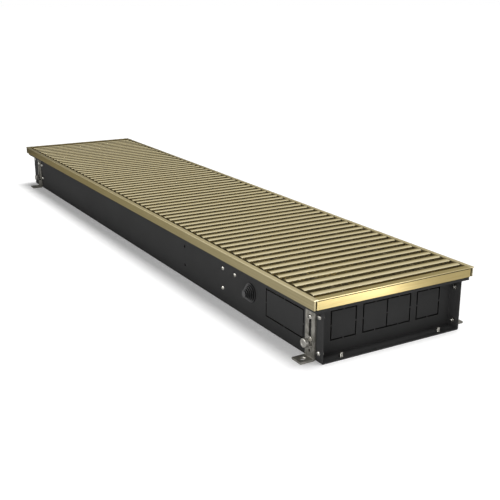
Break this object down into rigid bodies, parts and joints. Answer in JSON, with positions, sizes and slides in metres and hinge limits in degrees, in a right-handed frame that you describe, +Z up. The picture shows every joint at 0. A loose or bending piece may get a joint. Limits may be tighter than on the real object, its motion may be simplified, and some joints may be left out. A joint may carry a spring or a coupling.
{
  "type": "trench convector heater",
  "caption": "Low floor-trench convector: dark steel tray, pale gold frame and cross-bar grille, finned copper heat exchanger inside, slotted side feet.",
  "frame": {"origin": "on the floor, under the middle of the heater", "axes": "+X along the trench towards the end with the pipe connections, +Y across it, +Z up"},
  "size_m": [1.2194, 0.276, 0.09],
  "materials": {
    "tray_paint": "dark grey powder coat, satin, fine-grained",
    "gold_anodised": "anodised pale gold, satin, brushed along the profile",
    "bar_anodised": "anodised pale gold, satin, drawn along the bar",
    "dark_rubber": "black rubber, matt",
    "sleeve_plastic": "dark brown moulded plastic",
    "bright_steel": "zinc-plated steel, bright",
    "galvanised": "galvanised steel sheet",
    "fin_aluminium": "thin rolled aluminium sheet",
    "copper_tube": null,
    "fitting_brass": "turned brass"
  },
  "bodies": {
    "casing": {"trench_tray": "tray_paint", "end_plate_near": "tray_paint", "end_plate_far": "tray_paint", "frame_side_left": "gold_anodised", "frame_side_right": "gold_anodised", "frame_end_near": "gold_anodised", "frame_end_far": "gold_anodised", "corner_keys": "galvanised", "cushion_strip_left": "dark_rubber", "cushion_strip_right": "dark_rubber", "fin_pack": "fin_aluminium", "hairpin_left": "copper_tube", "hairpin_right": "copper_tube", "return_bend": "copper_tube", "support_near": "galvanised", "support_far": "galvanised", "connection_plate": "galvanised", "supply_fitting": "fitting_brass", "return_fitting": "fitting_brass", "fitting_lock_nuts": "fitting_brass", "vent_body": "fitting_brass", "cable_grommet": "dark_rubber", "clamp_bolts": "bright_steel", "clamp_washers": "bright_steel", "clamp_lock_nuts": "bright_steel", "clamp_inner_nuts": "bright_steel", "side_screws": "bright_steel", "side_nuts": "bright_steel", "end_screws": "bright_steel", "end_nuts": "bright_steel", "joining_studs": "bright_steel"},
    "grille": {"grille_bars": "bar_anodised", "grille_wires": "bright_steel", "grille_sleeves": "sleeve_plastic", "grille_end_stops": "bright_steel"},
    "vent_spindle": {"vent_screw": "bright_steel"},
    "foot_near_left": {"foot_bracket_near_left": "galvanised", "guide_screw_near_left": "bright_steel", "guide_nut_near_left": "bright_steel"},
    "foot_near_right": {"foot_bracket_near_right": "galvanised", "guide_screw_near_right": "bright_steel", "guide_nut_near_right": "bright_steel"},
    "foot_far_left": {"foot_bracket_far_left": "galvanised", "guide_screw_far_left": "bright_steel", "guide_nut_far_left": "bright_steel"},
    "foot_far_right": {"foot_bracket_far_right": "galvanised", "guide_screw_far_right": "bright_steel", "guide_nut_far_right": "bright_steel"}
  },
  "joints": [
    {"name": "grille_lift", "type": "slide", "parent": "casing", "child": "grille", "axis": [0, 0, 1], "range_m": [0, 0.12]},
    {"name": "vent_turn", "type": "hinge", "parent": "casing", "child": "vent_spindle", "pos_m": [0.3964, 0.06, 0.06], "axis": [0, 0, 1], "range_deg": [0, 180]},
    {"name": "foot_slide_near_left", "type": "slide", "parent": "casing", "child": "foot_near_left", "axis": [0, 0, -1], "range_m": [0, 0.02]},
    {"name": "foot_slide_near_right", "type": "slide", "parent": "casing", "child": "foot_near_right", "axis": [0, 0, -1], "range_m": [0, 0.02]},
    {"name": "foot_slide_far_left", "type": "slide", "parent": "casing", "child": "foot_far_left", "axis": [0, 0, -1], "range_m": [0, 0.02]},
    {"name": "foot_slide_far_right", "type": "slide", "parent": "casing", "child": "foot_far_right", "axis": [0, 0, -1], "range_m": [0, 0.02]}
  ]
}
